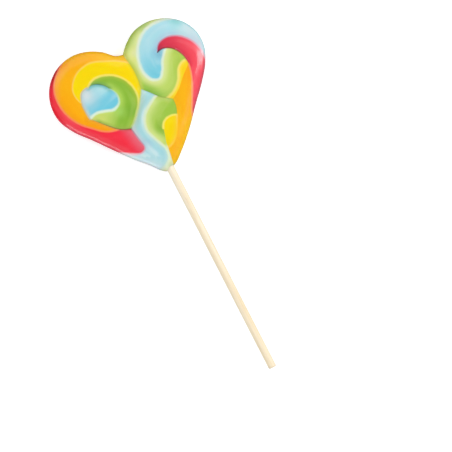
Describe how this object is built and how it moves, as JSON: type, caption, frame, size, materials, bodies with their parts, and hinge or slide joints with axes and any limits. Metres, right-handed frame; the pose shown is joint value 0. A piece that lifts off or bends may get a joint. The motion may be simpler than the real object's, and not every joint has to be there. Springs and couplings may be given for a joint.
{
  "type": "swirl lollipop",
  "caption": "Heart-shaped swirl lollipop: a flat pressed heart of coiled striped boiled sugar with rounded rim and grooved seams, held on a round wooden stick.",
  "frame": {"origin": "on the flat back of the heart, on the line of the stick, at the middle of the heart's height", "axes": "+Z out of the shown face, +Y along the stick towards the two lobes, +X to the right seen from the shown face"},
  "size_m": [0.0809, 0.1804, 0.009],
  "materials": {
    "candy": "glossy boiled sugar in swirled fields of red, orange, yellow, green and blue with thin pale lines between them",
    "stick": "pale plain birch dowel, unvarnished"
  },
  "bodies": {
    "root": {"candy": "candy", "stick": "stick"}
  },
  "joints": []
}
